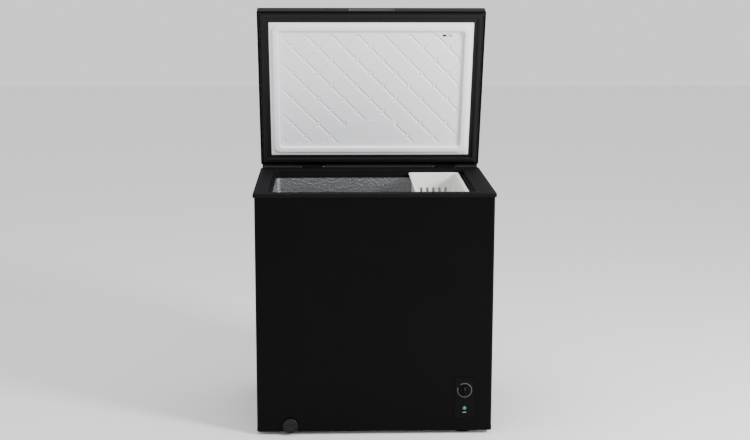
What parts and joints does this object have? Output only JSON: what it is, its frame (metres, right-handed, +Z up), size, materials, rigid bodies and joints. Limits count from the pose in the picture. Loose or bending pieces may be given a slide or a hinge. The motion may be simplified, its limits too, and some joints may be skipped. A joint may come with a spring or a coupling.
{
  "type": "chest freezer",
  "caption": "Small black chest freezer with a hinged insulated lid standing open, a lift-out basket over a metal-lined well, a front thermostat dial and lamp, and a drain cap.",
  "frame": {"origin": "on the floor, at the centre of the footprint with the lid open", "axes": "+Z up, -Y towards the user at the front, +X to the user's right"},
  "size_m": [0.76, 0.6207, 1.3359],
  "materials": {
    "black_steel": "satin",
    "zinc_steel": "satin",
    "charcoal_plastic": "satin",
    "black_plastic": "satin",
    "white_plastic": "satin",
    "gasket_rubber": "matte",
    "stucco_aluminium": "satin",
    "foam": "matte",
    "copper": "satin",
    "coil_metal": "satin",
    "compressor_paint": "satin",
    "bright_steel": "satin",
    "dial_grey": "satin",
    "lamp_green": "gloss",
    "drain_plastic": "matte"
  },
  "bodies": {
    "cabinet": {"base_pan": "zinc_steel", "cabinet_foam": "foam", "cabinet_shell": "black_steel", "capillary_tube": "copper", "compressor": "compressor_paint", "compressor_bolt_1": "bright_steel", "compressor_bolt_2": "bright_steel", "compressor_bolt_3": "bright_steel", "compressor_bolt_4": "bright_steel", "compressor_grommet_1": "gasket_rubber", "compressor_grommet_2": "gasket_rubber", "compressor_grommet_3": "gasket_rubber", "compressor_grommet_4": "gasket_rubber", "compressor_plate": "zinc_steel", "condenser_coil": "coil_metal", "control_panel": "black_plastic", "cord_inlet": "black_plastic", "cover_screws": "bright_steel", "dial_ring": "dial_grey", "discharge_tube": "copper", "drain_tube": "drain_plastic", "evaporator_coil": "coil_metal", "filter_drier": "copper", "foot_front_left": "black_plastic", "foot_front_right": "black_plastic", "foot_rear_left": "black_plastic", "foot_rear_right": "black_plastic", "hinge_base_left": "black_steel", "hinge_base_right": "black_steel", "hinge_pin_left": "bright_steel", "hinge_pin_right": "bright_steel", "hinge_spring_left": "bright_steel", "hinge_spring_right": "bright_steel", "indicator_lens": "lamp_green", "inner_liner": "stucco_aluminium", "lamp_holder": "white_plastic", "liquid_tube": "copper", "rear_cover": "zinc_steel", "rear_panel": "zinc_steel", "relay_cover": "black_plastic", "suction_tube": "copper", "thermostat_body": "white_plastic", "top_collar": "charcoal_plastic"},
    "lid": {"lid_skin": "black_steel", "lid_frame": "black_plastic", "lid_liner": "white_plastic", "lid_foam": "foam", "lid_gasket": "gasket_rubber", "lid_handle": "black_plastic", "lid_strip_left": "black_plastic", "lid_strip_middle": "black_plastic", "lid_strip_right": "black_plastic", "hinge_leaf_left": "black_steel", "hinge_leaf_right": "black_steel"},
    "thermostat_knob": {"thermostat_knob": "black_plastic"},
    "basket": {"basket": "white_plastic"},
    "drain_cap": {"drain_cap": "black_plastic"},
    "drain_plug": {"drain_plug": "white_plastic"}
  },
  "joints": [
    {"name": "lid_hinge", "type": "hinge", "parent": "cabinet", "child": "lid", "pos_m": [0, 0.27341, 0.78], "axis": [-1, 0, 0], "range_deg": [-72, 8]},
    {"name": "knob_turn", "type": "hinge", "parent": "cabinet", "child": "thermostat_knob", "pos_m": [0.287, -0.29359, 0.146], "axis": [0, 1, 0], "range_deg": [-30, 240]},
    {"name": "basket_slide", "type": "slide", "parent": "cabinet", "child": "basket", "axis": [1, 0, 0], "range_m": [-0.455, 0.008]},
    {"name": "drain_cap_pull", "type": "slide", "parent": "cabinet", "child": "drain_cap", "axis": [0, -1, 0], "range_m": [0, 0.03]},
    {"name": "drain_plug_pull", "type": "slide", "parent": "cabinet", "child": "drain_plug", "axis": [0, 0, 1], "range_m": [0, 0.03]}
  ]
}
